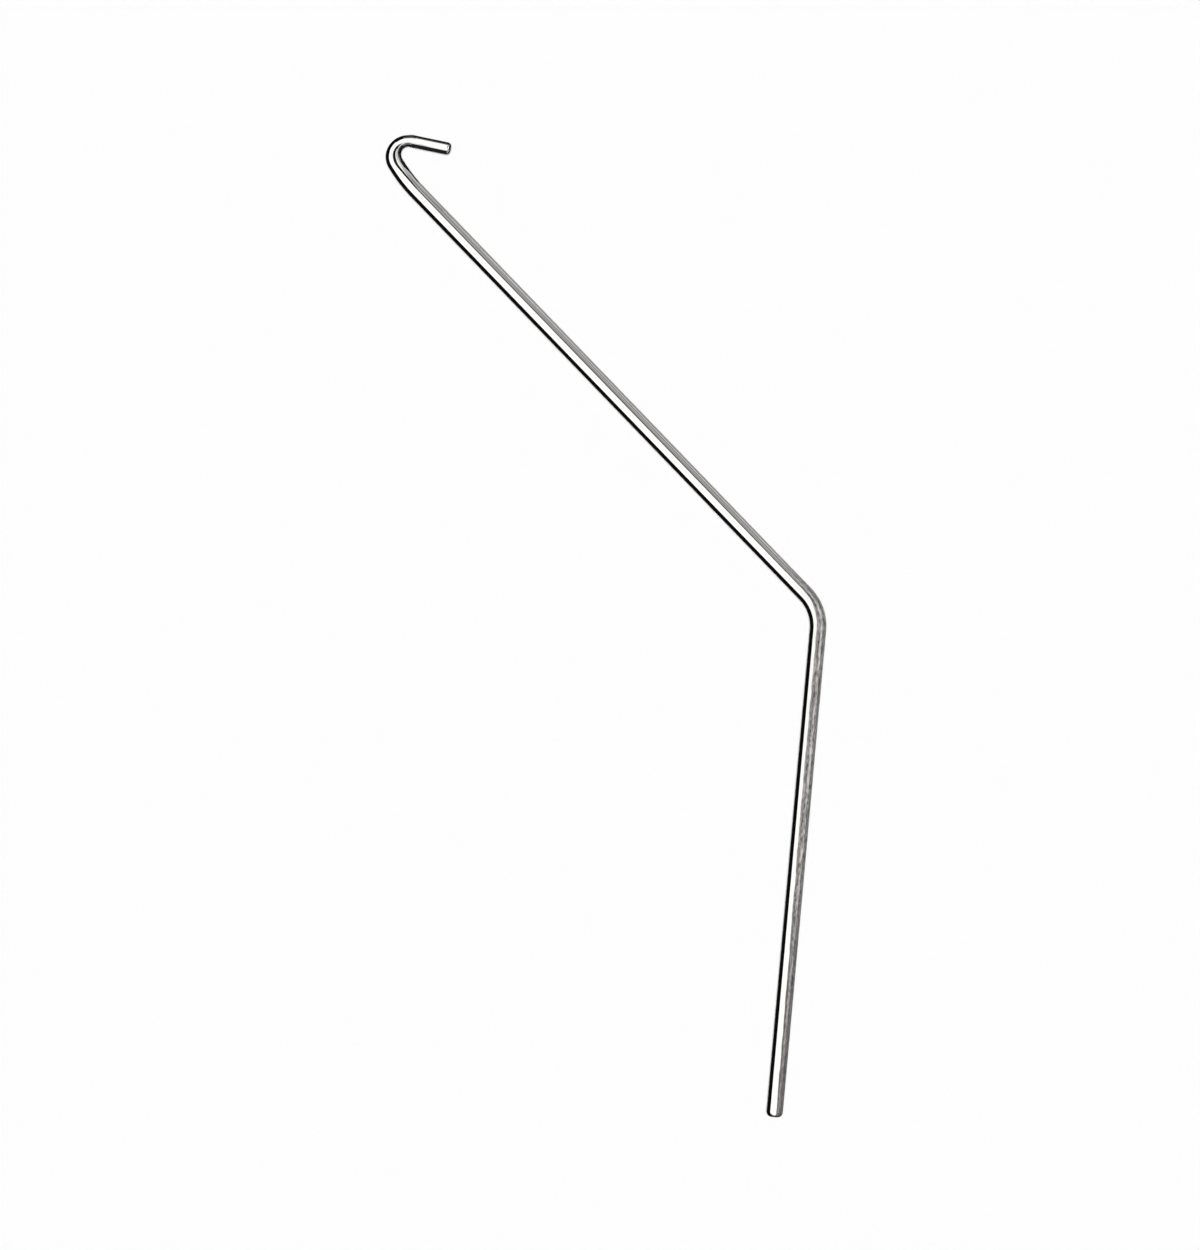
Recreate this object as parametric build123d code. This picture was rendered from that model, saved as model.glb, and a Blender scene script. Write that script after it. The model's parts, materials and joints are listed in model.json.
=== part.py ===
from build123d import *
import math
import os

# Driving dimensions, in millimetres and degrees.
rod_diameter = 4.76
drain_leg_length = 147.9
elbow_turn = 49.1
elbow_inner_radius = 11.0
span_length = 168.3
hook_lead_turn = 13.2
hook_lead_inner_radius = 42.1
hook_turn = 119.6
hook_inner_radius = 1.96
crown_turn = 13.0
crown_inner_radius = 4.35
crown_thickness = 3.3
tip_leg_length = 11.2
tip_leg_thickness = 3.6
drain_end_round = 1.5
tip_end_round = 1.1
hook_sections = 9
crown_sections = 5

rod_radius = rod_diameter / 2
elbow_radius = elbow_inner_radius + rod_radius
hook_lead_radius = hook_lead_inner_radius + rod_radius
hook_radius = hook_inner_radius + rod_radius
crown_radius = crown_inner_radius + crown_thickness / 2

# Both lengths are measured to the elbow's sharp corner, which its arc cuts off.
elbow_setback = elbow_radius * math.tan(math.radians(elbow_turn / 2))
leg_straight = drain_leg_length - elbow_setback
span_straight = span_length - elbow_setback

# The centre line lies flat at half the rod's thickness. It starts at the drain
# end and is fed and bent in turn, the way a wire bender makes it.
drain_end = Vector(0, 0, rod_radius)
leg_line = Line(drain_end, drain_end + Vector(0, leg_straight, 0))
elbow_arc = JernArc(leg_line @ 1, leg_line % 1, elbow_radius, elbow_turn)
span_line = Line(elbow_arc @ 1, elbow_arc @ 1 + (elbow_arc % 1) * span_straight)
hook_lead_arc = JernArc(span_line @ 1, span_line % 1, hook_lead_radius, -hook_lead_turn)
hook_arc = JernArc(hook_lead_arc @ 1, hook_lead_arc % 1, hook_radius, -hook_turn)
crown_arc = JernArc(hook_arc @ 1, hook_arc % 1, crown_radius, -crown_turn)
tip_line = Line(crown_arc @ 1, crown_arc @ 1 + (crown_arc % 1) * tip_leg_length)


def cut_plane(line, at):
    """A plane square to the centre line, with its X direction pointing up."""
    return Plane(origin=line @ at, x_dir=(0, 0, 1), z_dir=line % at)


def round_section(line, at):
    """The rod's full round section."""
    return cut_plane(line, at) * Circle(rod_radius)


def pressed_section(line, at, thickness):
    """The section where the rod is pressed thinner in the plane of its bends."""
    return cut_plane(line, at) * Ellipse(rod_radius, thickness / 2)


def straight_run(line):
    """A round length of rod along one straight of the centre line."""
    return extrude(round_section(line, 0), amount=line.length)


def round_bend(arc, turn):
    """A round length of rod turned about the centre of one bend."""
    return revolve(round_section(arc, 0), Axis(arc.arc_center, (0, 0, 1)), turn)


def rounded_end(run, end, radius):
    """The run with the rim of its end face rounded over."""
    return fillet(run.faces().sort_by_distance(end)[0].edges(), radius)


def eased(first, last, at):
    """A value that leaves the first one gently and settles gently on the last one."""
    return first + (last - first) * at * at * (3 - 2 * at)


# The drain leg, with its blunt end rounded so that it slips into the drain.
leg = rounded_end(straight_run(leg_line), drain_end, drain_end_round)

# The wide elbow, the slanted span and the gentle lead into the hook stay round.
elbow = round_bend(elbow_arc, elbow_turn)
span = straight_run(span_line)
hook_lead = round_bend(hook_lead_arc, -hook_lead_turn)

# The tight hook: its section eases from the round rod to the pressed crown.
hook_faces = [round_section(hook_arc, 0)]
for n in range(1, hook_sections):
    at = n / (hook_sections - 1)
    hook_faces.append(pressed_section(hook_arc, at, eased(rod_diameter, crown_thickness, at)))
hook = sweep(hook_faces, path=hook_arc, multisection=True)

# The crown turns a little further and thickens again to the tip leg.
crown_faces = []
for n in range(crown_sections):
    at = n / (crown_sections - 1)
    crown_faces.append(pressed_section(crown_arc, at, eased(crown_thickness, tip_leg_thickness, at)))
crown = sweep(crown_faces, path=crown_arc, multisection=True)

# The short tip leg, with its cut end rounded over.
tip = extrude(pressed_section(tip_line, 0, tip_leg_thickness), amount=tip_line.length)
tip = rounded_end(tip, tip_line @ 1, tip_end_round)

rod = leg + elbow + span + hook_lead + hook + crown + tip

# The origin is the middle of the part's outline, on the surface that it lies on.
outline = rod.bounding_box()
rod = Pos(-outline.center().X, -outline.center().Y, -outline.min.Z) * rod

os.makedirs("parts", exist_ok=True)
export_step(rod, "parts/drain_heat_rod.step")
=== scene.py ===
# %% [markdown]
# # A heat rod for a refrigerator's defrost drain
#
# The real thing is one round aluminium rod. Its hook clips over the defrost heater, its long leg
# hangs in the drain, and the metal carries heat from one to the other. The CAD model gives its
# size and place, so this lesson loads it first and keeps its box.

# %% Load the imported rod
import json
from math import cos, pi, radians, sin, tan

import bmesh
import bpy
from mathutils import Matrix, Vector


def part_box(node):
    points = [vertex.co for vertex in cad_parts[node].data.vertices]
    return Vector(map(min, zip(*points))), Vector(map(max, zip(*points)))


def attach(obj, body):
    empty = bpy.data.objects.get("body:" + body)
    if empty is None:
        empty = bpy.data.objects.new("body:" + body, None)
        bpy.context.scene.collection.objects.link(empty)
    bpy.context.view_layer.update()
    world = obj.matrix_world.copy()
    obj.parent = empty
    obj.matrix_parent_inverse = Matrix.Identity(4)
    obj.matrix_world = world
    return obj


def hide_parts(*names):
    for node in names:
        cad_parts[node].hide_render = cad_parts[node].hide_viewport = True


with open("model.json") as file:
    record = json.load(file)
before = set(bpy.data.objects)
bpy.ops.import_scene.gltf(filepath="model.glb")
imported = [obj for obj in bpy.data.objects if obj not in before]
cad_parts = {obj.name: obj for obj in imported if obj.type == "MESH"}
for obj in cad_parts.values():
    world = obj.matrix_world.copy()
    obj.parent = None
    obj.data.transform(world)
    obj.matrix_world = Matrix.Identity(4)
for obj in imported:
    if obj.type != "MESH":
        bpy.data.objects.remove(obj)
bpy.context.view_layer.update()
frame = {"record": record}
rod_low, rod_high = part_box("drain_heat_rod")
drain_leg = next(m for m in frame["record"]["mounts"] if m["name"] == "drain_leg")
drain_end = Vector((drain_leg["pos_m"][0], rod_low.y, drain_leg["pos_m"][2]))
print("rod box in mm", [round(v * 1000, 2) for v in rod_high - rod_low])

# %% [markdown]
# ## The camera
#
# The photograph looks straight down on the rod, turned a few degrees so that the drain leg leans.
# A long lens high above keeps the view almost free of perspective. The picture is 1250 pixels high,
# and one pixel of it is 0.29 mm on the rod, which sets the height.

# %% Camera
millimetre = 0.001
picture_height = 1250 * 0.29 * millimetre
picture_turn = radians(5.13)
picture_middle = Vector((4.32, 0.44, 2.38)) * millimetre

lens = bpy.data.cameras.new("camera")
lens.lens = 200
lens.sensor_width = 36
camera = bpy.data.objects.new("camera", lens)
camera.location = picture_middle + Vector((0, 0, picture_height * lens.lens / lens.sensor_width))
camera.rotation_euler = (0, 0, picture_turn)
bpy.context.collection.objects.link(camera)
bpy.context.scene.camera = camera
print("camera height in m", round(camera.location.z, 3))

# %% [markdown]
# ## The rod's centre line
#
# A wire bender feeds straight wire and turns it round a pin, again and again. The same list of
# feeds and bends drives the mesh here. A bend is a turn in degrees and the radius of its middle
# line; a turn to the left is positive. The numbers are the CAD model's own.

# %% Feeds and bends
rod_radius = 2.38 * millimetre
crown_thickness, tip_thickness = 3.3 * millimetre, 3.6 * millimetre
elbow_turn, elbow_radius = 49.1, 13.38 * millimetre
lead_turn, lead_radius = -13.2, 44.48 * millimetre
hook_turn, hook_radius = -119.6, 4.34 * millimetre
crown_turn, crown_radius = -13.0, 6.0 * millimetre
elbow_setback = elbow_radius * tan(radians(elbow_turn) / 2)
leg_feed = 147.9 * millimetre - elbow_setback
span_feed = 168.3 * millimetre - elbow_setback
tip_feed = 11.2 * millimetre
drain_round = 1.5 * millimetre
tip_round = 1.1 * millimetre


def feed(station, length):
    """The station further along a straight: its Z axis points the way the wire travels."""
    return station @ Matrix.Translation((0, 0, length))


def bend(station, turn, radius):
    """The station after a turn about an upright pin beside the wire."""
    side = -radius if turn > 0 else radius
    pin = Matrix.Translation((side, 0, 0))
    return station @ pin @ Matrix.Rotation(radians(-turn), 4, "Y") @ pin.inverted()


travel, sideways, up = Vector((0, 1, 0)), Vector((1, 0, 0)), Vector((0, 0, 1))
first_station = Matrix((sideways, up, travel)).transposed().to_4x4()
first_station = Matrix.Translation(drain_end) @ first_station
print("station at the drain end", [round(v, 4) for v in first_station.translation])

# %% [markdown]
# ## One ring, drawn along
#
# The rod could be a curve with a round bevel, but the hook's section changes from round to oval
# and both ends are rounded over. So one circle is extruded ring by ring instead: each new ring is
# moved to its station and squeezed to its own thickness. Every vertex also notes where it sat on
# the straight wire, because the drawn surface was made before the wire was bent.

# %% The growing rod
ring_segments = 72
rod_mesh = bmesh.new()
straight_place = rod_mesh.verts.layers.float_vector.new("straight_place")
rod = {"along": 0.0, "station": first_station, "path": [first_station]}


def ring_matrix(half_width, half_height):
    """Where the unit circle goes for a ring of this size at the present station."""
    return rod["station"] @ Matrix.Diagonal((half_width, half_height, 1, 1))


def note_place(verts):
    """Writes each vertex's place on the straight wire."""
    back = rod["station"].inverted()
    for vert in verts:
        local = back @ vert.co
        vert[straight_place] = (local.x, local.y, rod["along"])


def start_ring(half_width, half_height):
    """The first ring, closed by the drain end's flat face."""
    rod["matrix"] = ring_matrix(half_width, half_height)
    made = bmesh.ops.create_circle(rod_mesh, cap_ends=True, segments=ring_segments, radius=1,
                                   matrix=rod["matrix"])
    note_place(made["verts"])
    rod["ring"] = list({edge for vert in made["verts"] for edge in vert.link_edges})


def next_ring(station, along, half_width, half_height):
    """Extrudes the open ring and moves the new one to its station."""
    made = bmesh.ops.extrude_edge_only(rod_mesh, edges=rod["ring"])["geom"]
    verts = [item for item in made if isinstance(item, bmesh.types.BMVert)]
    rod["station"], rod["along"] = station, along
    rod["path"].append(station)
    matrix = ring_matrix(half_width, half_height)
    bmesh.ops.transform(rod_mesh, matrix=matrix @ rod["matrix"].inverted(), verts=verts)
    rod["matrix"] = matrix
    note_place(verts)
    fresh = set(verts)
    edges = {edge for vert in verts for edge in vert.link_edges}
    rod["ring"] = [edge for edge in edges if fresh.issuperset(edge.verts)]


print("segments in a ring", ring_segments)

# %% [markdown]
# ## Drain end and leg
#
# The blunt end is a quarter circle of rings, from the small flat face out to the full radius. The
# leg after it is one long extrusion: a straight needs no more rings, since nothing on it bends.

# %% Drain end and leg
end_steps = 10
start_ring(rod_radius - drain_round, rod_radius - drain_round)
for step in range(1, end_steps + 1):
    angle = pi / 2 * step / end_steps
    along = drain_round * (1 - cos(angle))
    size = rod_radius - drain_round * (1 - sin(angle))
    next_ring(feed(first_station, along), along, size, size)
next_ring(feed(first_station, leg_feed), leg_feed, rod_radius, rod_radius)
leg_end = rod["along"]
print("leg ends at", round(leg_end * 1000, 2), "mm along the wire")

# %% [markdown]
# ## Elbow, span and the lead into the hook
#
# The elbow and the gentle lead are turned in small steps about their pins, with the full round
# section kept. The span between them is again one extrusion.

# %% Elbow, span and lead
elbow_steps, lead_steps = 28, 12


def round_bend(turn, radius, steps):
    """Turns the ring about a pin and keeps its size."""
    start, begun = rod["station"], rod["along"]
    for step in range(1, steps + 1):
        share = step / steps
        along = begun + radians(abs(turn)) * radius * share
        next_ring(bend(start, turn * share, radius), along, rod_radius, rod_radius)


round_bend(elbow_turn, elbow_radius, elbow_steps)
elbow_end = rod["along"]
next_ring(feed(rod["station"], span_feed), elbow_end + span_feed, rod_radius, rod_radius)
span_end = rod["along"]
round_bend(lead_turn, lead_radius, lead_steps)
lead_end = rod["along"]
print("elbow, span and lead end at", [round(v * 1000, 2) for v in (elbow_end, span_end, lead_end)])

# %% [markdown]
# ## The hook and its tip
#
# The tight hook is what takes the most care. While the ring is turned about a pin thinner than the
# rod itself, it is eased from round to oval, because the hook is pressed thinner in the plane of
# the bends. The crown after it turns a little further and thickens again to the tip. The tip's end
# is rounded over like the drain end and then closed.

# %% Hook and tip
hook_steps, crown_steps = 72, 8


def pressed_bend(turn, radius, steps, first, last):
    """Turns the ring about a pin and eases its thickness in the plane of the bend."""
    start, begun = rod["station"], rod["along"]
    for step in range(1, steps + 1):
        share = step / steps
        thickness = first + (last - first) * share * share * (3 - 2 * share)
        along = begun + radians(abs(turn)) * radius * share
        next_ring(bend(start, turn * share, radius), along, thickness / 2, rod_radius)


pressed_bend(hook_turn, hook_radius, hook_steps, 2 * rod_radius, crown_thickness)
pressed_bend(crown_turn, crown_radius, crown_steps, crown_thickness, tip_thickness)
hook_end, tip_start = rod["along"], rod["station"]
tip_straight, tip_half = tip_feed - tip_round, tip_thickness / 2
next_ring(feed(tip_start, tip_straight), hook_end + tip_straight, tip_half, rod_radius)
for step in range(1, end_steps + 1):
    angle = pi / 2 * step / end_steps
    along = tip_feed - tip_round * (1 - sin(angle))
    shrink = tip_round * (1 - cos(angle))
    next_ring(feed(tip_start, along), hook_end + along, tip_half - shrink, rod_radius - shrink)
wire_length = rod["along"]
bmesh.ops.contextual_create(rod_mesh, geom=rod["ring"])
bmesh.ops.recalc_face_normals(rod_mesh, faces=rod_mesh.faces)
print("wire length in mm", round(wire_length * 1000, 1))
print("volume in cm3", round(rod_mesh.calc_volume() * 1e6, 3))

# %% [markdown]
# ## The piece
#
# The mesh becomes an object at the origin, shaded smooth. It stands for the CAD node and rides on
# the part's one body.

# %% Rod object
for face in rod_mesh.faces:
    face.smooth = True
mesh = bpy.data.meshes.new("drawn_rod")
rod_mesh.to_mesh(mesh)
rod_mesh.free()
drawn_rod = bpy.data.objects.new("drawn_rod", mesh)
bpy.context.collection.objects.link(drawn_rod)
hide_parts("drain_heat_rod")
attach(drawn_rod, "root")
print("rod faces", len(mesh.polygons))

# %% [markdown]
# ## A way to write shaders
#
# Node trees are easier to read as sums. This class wraps one socket: Python's operators add Math
# nodes, and one method adds any other node, with its settings first and its sockets after. Two
# kinds of node come up again and again, so they have short names: a smooth step and a colour mix.

# %% Shader sums


class Signal:
    """One socket of a node tree."""

    def __init__(self, tree, socket=None):
        self.tree, self.socket = tree, socket

    def node(self, kind, settings=None, inputs=None, output=0):
        """Adds a node, gives it settings, then values or links, and returns one output."""
        made = self.tree.nodes.new(kind)
        for name, value in (settings or {}).items():
            setattr(made, name, value)
        for name, value in (inputs or {}).items():
            if isinstance(value, Signal):
                self.tree.links.new(value.socket, made.inputs[name])
            else:
                made.inputs[name].default_value = value
        return Signal(self.tree, made.outputs[output]) if made.outputs else None

    def sum(self, operation, first, second):
        """A Math node on two values."""
        return self.node("ShaderNodeMath", {"operation": operation}, {0: first, 1: second})

    def __add__(self, other):
        return self.sum("ADD", self, other)

    def __sub__(self, other):
        return self.sum("SUBTRACT", self, other)

    def __rsub__(self, other):
        return self.sum("SUBTRACT", other, self)

    def __mul__(self, other):
        return self.sum("MULTIPLY", self, other)

    __radd__, __rmul__ = __add__, __mul__

    def step(self, low, high):
        """A smooth step from 0 at low to 1 at high."""
        return self.node("ShaderNodeMapRange", {"interpolation_type": "SMOOTHSTEP"},
                         {"Value": self, "From Min": low, "From Max": high})

    def mix(self, first, second):
        """The first colour where this is 0 and the second where it is 1."""
        return self.node("ShaderNodeMix", {"data_type": "RGBA"},
                         {0: self, 6: first, 7: second}, output=2)


print("shader sums ready")

# %% [markdown]
# ## Bright drawn aluminium
#
# Drawing through a die leaves fine lines along the wire, so the noise here is read from the
# straight wire and stretched along it. One flank of the drain leg is scuffed by short strokes and
# darkened as painted shade, the die lines on the right side are darkened as painted shade too, and
# the cut ends are grainy. A photograph wrapped round the rod could show all that, but noise in the
# rod's own place stays sharp from any side.

# %% Aluminium


def new_material(name):
    """An empty material and the first signal of its node tree."""
    material = bpy.data.materials.new(name)
    material.use_nodes = True
    material.node_tree.nodes.clear()
    return material, Signal(material.node_tree)


def drawn_aluminium():
    """Bright metal with die lines, a scuffed flank on the leg and rough cut ends, with painted
    shade on that flank and on the right side.
    """
    material, start = new_material("drawn_aluminium")
    place = start.node("ShaderNodeAttribute", {"attribute_name": "straight_place"}, output="Vector")
    across = start.node("ShaderNodeSeparateXYZ", inputs={0: place}, output="X")
    along = start.node("ShaderNodeSeparateXYZ", inputs={0: place}, output="Z")

    def grain(crosswise, lengthways, detail):
        """Noise with this many grains per metre across and along the wire."""
        scale = (crosswise, crosswise, lengthways)
        spread = start.node("ShaderNodeMapping", inputs={"Vector": place, "Scale": scale})
        return start.node("ShaderNodeTexNoise",
                          inputs={"Vector": spread, "Scale": 1.0, "Detail": detail})

    die_lines = grain(1600, 5, 2.0)
    broad_lines = grain(600, 4, 2.0)
    strokes = grain(2600, 200, 2.0)
    flecks = grain(2600, 700, 1.0)
    lines = die_lines.step(0.40, 0.62)

    # The scuffed patch, darkened as painted shade, creeps over the top of the leg, slides back in
    # the elbow and fades on the span.
    side = across * (1 / rod_radius)
    creep = along.step(-20 * millimetre, 110 * millimetre) * 0.38
    slide = along.step(leg_end, elbow_end + 2 * millimetre) * 0.28
    flank = side + creep - slide + strokes * 0.3
    leg = 1 - along.step(elbow_end - 4 * millimetre, elbow_end + 16 * millimetre)
    scuff_and_shade = flank.step(0.30, 0.39) * leg
    drain_face = 1 - along.step(0.2 * millimetre, 1.0 * millimetre)
    tip_face = along.step(wire_length - 0.6 * millimetre, wire_length - 0.1 * millimetre)
    ends = drain_face + tip_face

    # Clean metal is duller in its die lines; on the right side these lines are darkened further as
    # painted shade. The metal is also darker from partway up the leg towards the elbow.
    side_shaded_lines = lines * (side.step(0.05, 0.3) * 0.45 + 0.12)
    darker_upper_leg = along.step(50 * millimetre, 130 * millimetre) * leg * 0.1
    dull = side_shaded_lines + broad_lines.step(0.4, 0.65) * 0.1 + ends * 0.2 + darker_upper_leg
    # The dull colour is also the painted shade on the right side.
    bright_metal, dull_and_shaded_metal = (0.90, 0.893, 0.88, 1), (0.40, 0.394, 0.384, 1)
    clean = dull.mix(bright_metal, dull_and_shaded_metal)

    # The scuffed patch is dark as painted shade, with bare strokes and flecks of wear, which are
    # fainter near the drain end.
    marks = strokes.step(0.40, 0.60) * 0.40 + flecks.step(0.42, 0.58) * 0.50
    marks = marks * (along.step(0.0, 90 * millimetre) * 0.6 + 0.4)
    bare = (marks + lines * 0.15) * (flank.step(0.45, 0.70) * 0.5 + 0.5)
    # The dark colour is painted shade on the scuffed flank; the bare colour is its strokes.
    shaded_scuff, bare_scuff = (0.14, 0.137, 0.134, 1), (0.64, 0.622, 0.606, 1)
    worn_and_shaded = bare.mix(shaded_scuff, bare_scuff)

    roughness = lines * 0.03 + scuff_and_shade * 0.28 + ends * 0.08 + 0.04
    height = die_lines * 0.25 + flecks * (ends * 1.5 + 0.03) + strokes * scuff_and_shade
    relief = start.node("ShaderNodeBump", inputs={"Strength": 0.25, "Distance": 0.06 * millimetre,
                                                  "Height": height})
    metal = start.node("ShaderNodeBsdfPrincipled",
                       inputs={"Base Color": scuff_and_shade.mix(clean, worn_and_shaded), "Metallic": 1.0,
                               "Roughness": roughness, "Normal": relief})
    start.node("ShaderNodeOutputMaterial", inputs={"Surface": metal})
    return material


mesh.materials.append(drawn_aluminium())
print("aluminium nodes", len(mesh.materials[0].node_tree.nodes))

# %% [markdown]
# ## The floor
#
# A pale disc lies under the rod, and a ring that curves up from its rim keeps the far edge out of
# every view. Both are dull white paper, and a lamp of their own lights them later.

# %% Floor and backdrop


def white_paper():
    """A dull white surface."""
    material, start = new_material("white_paper")
    dull_white = start.node("ShaderNodeBsdfDiffuse", inputs={"Color": (0.97, 0.97, 0.97, 1)})
    start.node("ShaderNodeOutputMaterial", inputs={"Surface": dull_white})
    return material


def stage_object(name, shape, material):
    """A finished bmesh as an object of the set, not of the part."""
    made = bpy.data.meshes.new(name)
    for face in shape.faces:
        face.smooth = True
    shape.to_mesh(made)
    shape.free()
    made.materials.append(material)
    thing = bpy.data.objects.new(name, made)
    bpy.context.collection.objects.link(thing)
    return thing


paper = white_paper()
floor_radius, cove_radius = 3.0, 0.8
rim_segments, cove_segments = 96, 12
disc = bmesh.new()
bmesh.ops.create_circle(disc, cap_ends=True, segments=rim_segments, radius=floor_radius)
stage_object("floor", disc, paper)

ring = bmesh.new()
low = ring.verts.new((floor_radius, 0, 0))
bmesh.ops.spin(ring, geom=[low], cent=(floor_radius, 0, cove_radius), axis=(0, -1, 0),
               angle=pi / 2, steps=cove_segments)
bmesh.ops.spin(ring, geom=ring.verts[:] + ring.edges[:], cent=(0, 0, 0), axis=(0, 0, 1),
               angle=2 * pi, steps=rim_segments, use_merge=True)
bmesh.ops.recalc_face_normals(ring, faces=ring.faces)
backdrop = stage_object("backdrop", ring, paper)
backdrop.visible_glossy = False
print("backdrop height in m", round(max(corner[2] for corner in backdrop.bound_box), 2))

# %% [markdown]
# ## Strips beside the rod
#
# Bright metal on white paper loses its edges. A photographer lays strips of paper beside it, so
# that its sides mirror something darker. Here a black strip follows the left side of the wire, with
# a narrow pale one close in for views from low down, and grey strips follow the right side. A dark
# floor would do as much, but the photograph's floor is white, so the camera doesn't see the strips
# and only the metal's mirror images show them.

# %% Strips


def glowing(name, colour):
    """A plain glow of one colour."""
    material, start = new_material(name)
    glow = start.node("ShaderNodeEmission", inputs={"Color": colour, "Strength": 1.0})
    start.node("ShaderNodeOutputMaterial", inputs={"Surface": glow})
    return material


def card(name, corners, material):
    """A card with these corners in millimetres, which shows in reflections alone."""
    shape = bmesh.new()
    verts = [shape.verts.new(Vector(corner) * millimetre) for corner in corners]
    edges = [shape.edges.new(pair) for pair in zip(verts, verts[1:] + verts[:1])]
    bmesh.ops.edgeloop_fill(shape, edges=edges)
    thing = stage_object(name, shape, material)
    thing.visible_camera = thing.visible_diffuse = thing.visible_shadow = False


def level(height, *places):
    """Corners at one height."""
    return [(x, y, height) for x, y in places]


strip_height, near_height, near_width = 0.2, 0.25, 3.4
black_paper = glowing("black_paper", (0.004, 0.004, 0.004, 1))
grey_paper = glowing("grey_paper", (0.42, 0.416, 0.408, 1))
pale_paper = glowing("pale_paper", (0.45, 0.446, 0.437, 1))
wire_middle = ((67.4, -137), (67.4, 4.6), (66.2, 10.2), (62.8, 14.8), (-59.8, 120.9), (-61, 122.4))
throat_edge = ((-56.3, 127.8), (-53, 128.6), (-44, 127), (-8, 126))
back_edge = ((-8, 142), (-38, 145), (-44, 194), (-63, 197), (-105, 180))
far_edge = ((-128, 135), (-99, 75.6), (7, -40), (7, -200))
drain_edge = ((107, -200), (107, -140))
outside_elbow = (89, 45)
black_edge = (*wire_middle, *throat_edge, *back_edge, *far_edge, *drain_edge)
span_edge = (*wire_middle[3:], *throat_edge[:3], (13.4, 110.5), outside_elbow)
leg_edge = (*wire_middle[:4], outside_elbow, (105, 25), (107, -137))
card("black_strip", level(strip_height, *black_edge), black_paper)
card("span_strip", level(strip_height, *span_edge), grey_paper)
card("leg_strip", level(strip_height, *leg_edge), pale_paper)

near_offset = Vector((-near_width * millimetre, 0, 0))
under = [station.translation / millimetre for station in rod["path"]]
beside = [(station @ near_offset) / millimetre for station in rod["path"]]
near_edge = [place.xy for place in under + beside[::-1]]
card("near_strip", level(near_height, *near_edge), pale_paper)
print("corners of the near strip", len(near_edge))

# %% [markdown]
# ## Small cards at the hook
#
# The hook turns through the same directions as the span, so the room alone can't give it mirror
# images of its own. Low fences stand in its throat and past its tip. Over it hang a thin dark card,
# which draws the line along its top, and a light card that fades towards the span. Painted lines
# could stand for them, but paint would not move with the view as a mirror image does.

# %% Cards at the hook


def fence(name, first, last, height, material):
    """An upright card between two places on the floor."""
    card(name, level(strip_height, first, last) + level(height, last, first), material)


def fading(name):
    """A glow that fades from the hook's side of a card towards the span."""
    material, start = new_material(name)
    place = start.node("ShaderNodeTexCoord", output="Object")
    x, y = (start.node("ShaderNodeSeparateXYZ", inputs={0: place}, output=axis) for axis in "XY")
    span_side, hook_side = 0.1285, 0.1355
    dim, bright = (0.45, 0.446, 0.44, 1), (1.12, 1.114, 1.1, 1)
    colour = (y * 0.68 - x * 0.73).step(span_side, hook_side).mix(dim, bright)
    glow = start.node("ShaderNodeEmission", inputs={"Color": colour, "Strength": 1.0})
    start.node("ShaderNodeOutputMaterial", inputs={"Surface": glow})
    return material


throat_height, low_fence, light_height = 5.5, 9, 6
soot_paper = glowing("soot_paper", (0.022, 0.022, 0.022, 1))
light_paper = glowing("light_paper", (0.5, 0.495, 0.487, 1))
fence("throat_fence", (-63, 131.2), (-51.5, 130.2), throat_height, soot_paper)
fence("end_fence", (-41, 142), (-41, 129.5), low_fence, black_paper)
light_foot = level(strip_height, (-57, 130.3), (-40, 129))
card("light_fence", light_foot + level(light_height, (-40, 129), (-61.3, 130.7)), light_paper)

line_height, crescent_height = 7, 7.2
dark_paper = glowing("dark_paper", (0.02, 0.02, 0.02, 1))
line_outside = ((-59.3, 122.6), (-61, 123.6), (-62.7, 124.7), (-64.3, 125.9), (-66.1, 127.1),
                (-66.9, 127.7), (-67.4, 128.6), (-67.8, 129.7), (-68, 130.7), (-67.9, 131.8),
                (-67.2, 132.7), (-66.4, 133.3), (-65.3, 133.4), (-64.1, 132.7))
line_inside = ((-62.8, 130.4), (-64.2, 131.8), (-64.8, 131.9), (-65.2, 131.5), (-65.3, 130.5),
               (-65.4, 129.8), (-65.2, 128.9), (-64.6, 128.2), (-62.9, 127.2), (-61.3, 126.1),
               (-60, 124.7), (-58.9, 123.1))
crescent = ((-60.5, 124.2), (-61.8, 125.6), (-63.4, 126.7), (-65.7, 128.6), (-66.4, 130.1),
            (-66.3, 131.3), (-65.4, 132.1), (-63.4, 131.3), (-61.2, 132.2), (-60.1, 133.2),
            (-58.1, 129.4), (-57.4, 127.6))
card("line_card", level(line_height, *line_outside, *line_inside), dark_paper)
card("crescent_card", level(crescent_height, *crescent), fading("fading_paper"))
print("corners of the line and the crescent", len(line_outside + line_inside), len(crescent))

# %% [markdown]
# ## Fences further off
#
# Fences round the hook's back make its outline dark, and the last of them slopes down so that the
# line runs on into the span's without a jump. A far fence along the edge of the black strip hides
# the bright floor beyond it, which would be a pale thread in the dark line: a wider strip would
# have to reach very far to hide it. A white card over the drain end widens the bright band there.

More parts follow.
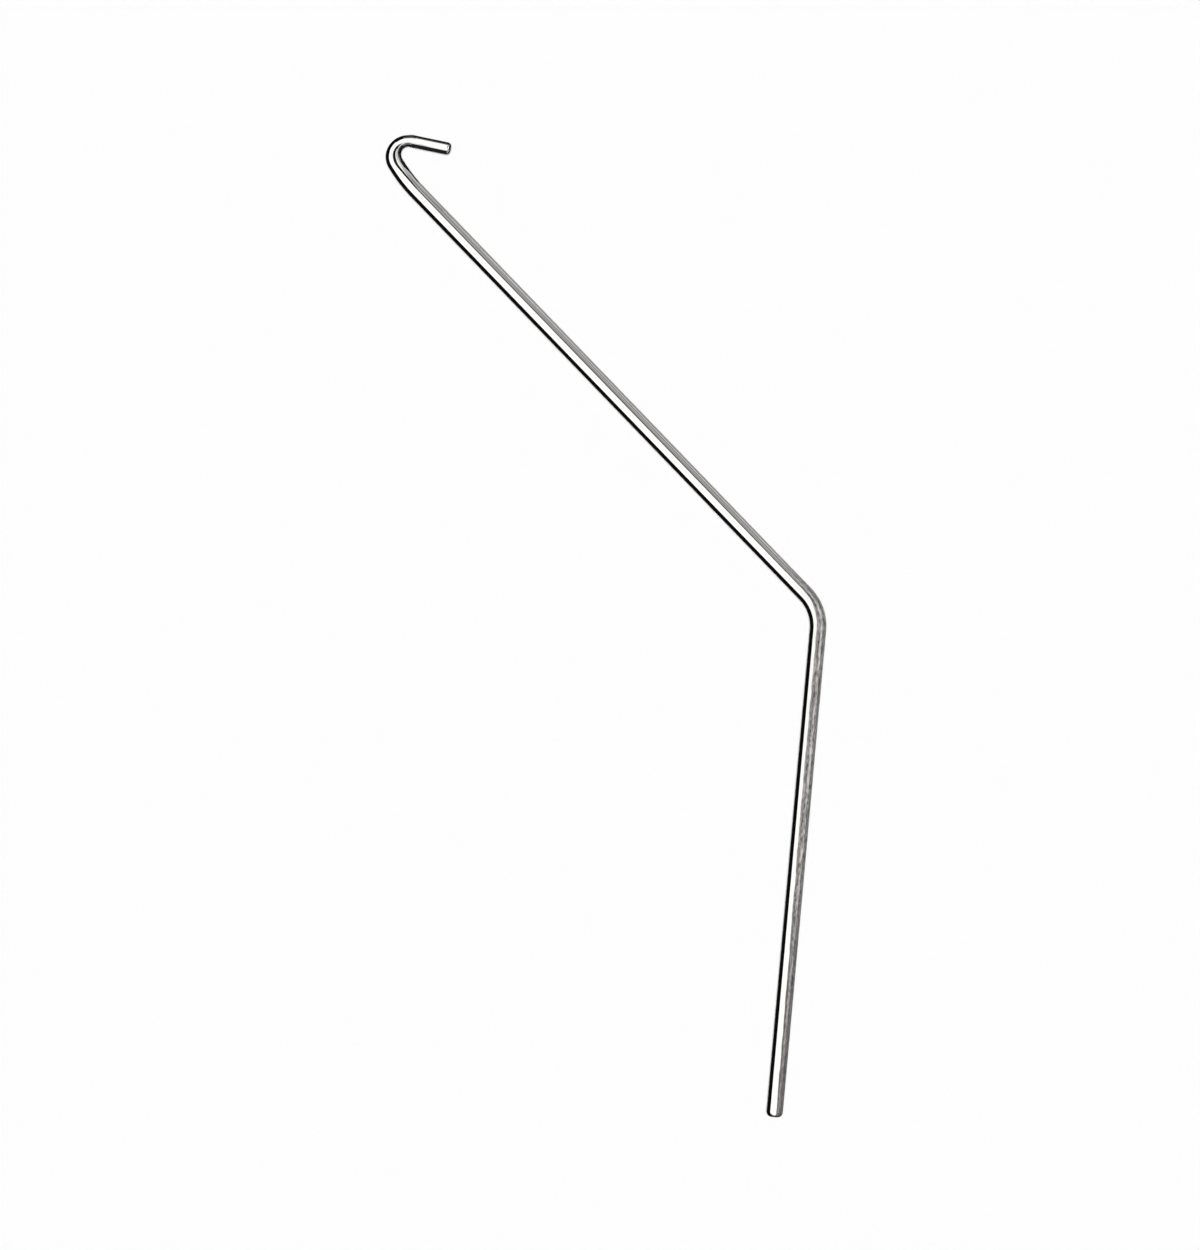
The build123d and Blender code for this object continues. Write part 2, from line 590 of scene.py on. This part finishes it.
# %% Fences and the drain card
high_fence, far_height, drain_card_height = 13, 6, 120
tent_white = (1.25, 1.243, 1.23, 1)
smoke_paper = glowing("smoke_paper", (0.10, 0.099, 0.097, 1))
fence_places = ((-42, 150), (-60.5, 152), (-70, 149.5), (-76, 144), (-81, 136), (-82, 128),
                (-78, 117))
fence_kinds = ((low_fence, smoke_paper), (high_fence, smoke_paper), (high_fence, black_paper),
               (low_fence, black_paper), (low_fence, black_paper), (low_fence, black_paper))
for first, last, (height, paper_kind) in zip(fence_places, fence_places[1:], fence_kinds):
    fence("hook_fence", first, last, height, paper_kind)
slope_foot = level(strip_height, fence_places[-1], (-68, 103))
card("fence_slope", slope_foot + level(low_fence, fence_places[-1]), black_paper)
far_places = far_edge[::-1]
for first, last in zip(far_places, far_places[1:]):
    fence("far_fence", first, last, far_height, black_paper)
drain_card = ((60, -170), (107, -170), (104, -135), (69, -88), (60, -88))
card("drain_card", level(drain_card_height, *drain_card), glowing("white_glow", tent_white))

# %% [markdown]
# ## The room
#
# What the metal mirrors from above is a white tent. On two sides its rim stops short of the
# horizon, which makes the dark edge beside the white band, and one corner of the room stays open on
# the right. The corner is dark, with a grey wall on one side, a bright window and a low door, so
# the flank turns grey. A picture of a real room could do this, but a few steps by direction are
# easier to shift until each band lies where it should.

# %% Room
room = bpy.data.worlds.new("tent_and_corner")
bpy.context.scene.world = room
room.use_nodes = True
room.node_tree.nodes.clear()
start = Signal(room.node_tree)
direction = start.node("ShaderNodeTexCoord", output="Generated")
x, y, z = (start.node("ShaderNodeSeparateXYZ", inputs={0: direction}, output=axis)
           for axis in "XYZ")
turn = start.sum("ARCTAN2", 0 - y, 0 - x)
rim = turn.step(-0.60, -0.25) * 0.35 - turn.step(1.0, 1.3) * 0.12 + 0.03
above_rim = (z - rim).step(-0.01, 0.01)
azimuth = start.sum("ARCTAN2", y, x - 0.05 * z)
corner = (azimuth - 0.9 * z).step(-1.31, -1.21) * (1 - azimuth.step(1.30, 1.38))
wall = azimuth.step(0.74, 0.86)
window = azimuth.step(-0.65, -0.25) * (1 - wall) * z.step(0.24, 0.34) * (1 - z.step(0.78, 0.90))
door = (1 - azimuth.step(-0.35, -0.15)) * (1 - z.step(0.15, 0.22))

tent_glow, window_glow, door_glow, corner_glow, least_glow = 1.25, 1.25, 0.6, 0.03, 0.004
wall_glow = 0.34 + z.step(0.15, 0.70) * 0.15
wall_glow = wall_glow - z.step(0.83, 0.87) * 0.45 + z.step(0.955, 0.965) * 1.2
seen_in_corner = wall * wall_glow + window * window_glow + door * door_glow + corner_glow
seen = above_rim * (1 - corner) * tent_glow + corner * seen_in_corner + least_glow
colour = (seen * (1 / tent_glow)).mix((0, 0, 0, 1), tent_white)
glow = start.node("ShaderNodeBackground", inputs={"Color": colour, "Strength": 1.0})
start.node("ShaderNodeOutputWorld", inputs={"Surface": glow})
print("room nodes", len(room.node_tree.nodes))

# %% [markdown]
# ## The lamp
#
# The floor has a lamp of its own straight above, whose shadow hides under the rod as in the
# photograph. The room is kept out of the floor's light, and so is what the rod would throw back of
# it, or the paper would glow beside the rod.

# %% Lamp
room.cycles_visibility.diffuse = False
drawn_rod.visible_diffuse = False

lamp = bpy.data.lights.new("overhead_lamp", "SUN")
lamp.energy, lamp.angle = 3.11, radians(12)
overhead = bpy.data.objects.new("overhead_lamp", lamp)
overhead.visible_glossy = False
bpy.context.collection.objects.link(overhead)
print("lamp strength", round(lamp.energy, 2))

# %% [markdown]
# ## Finish
#
# Colours are shown as they are.

# %% Finish
bpy.context.scene.view_settings.view_transform = "Standard"
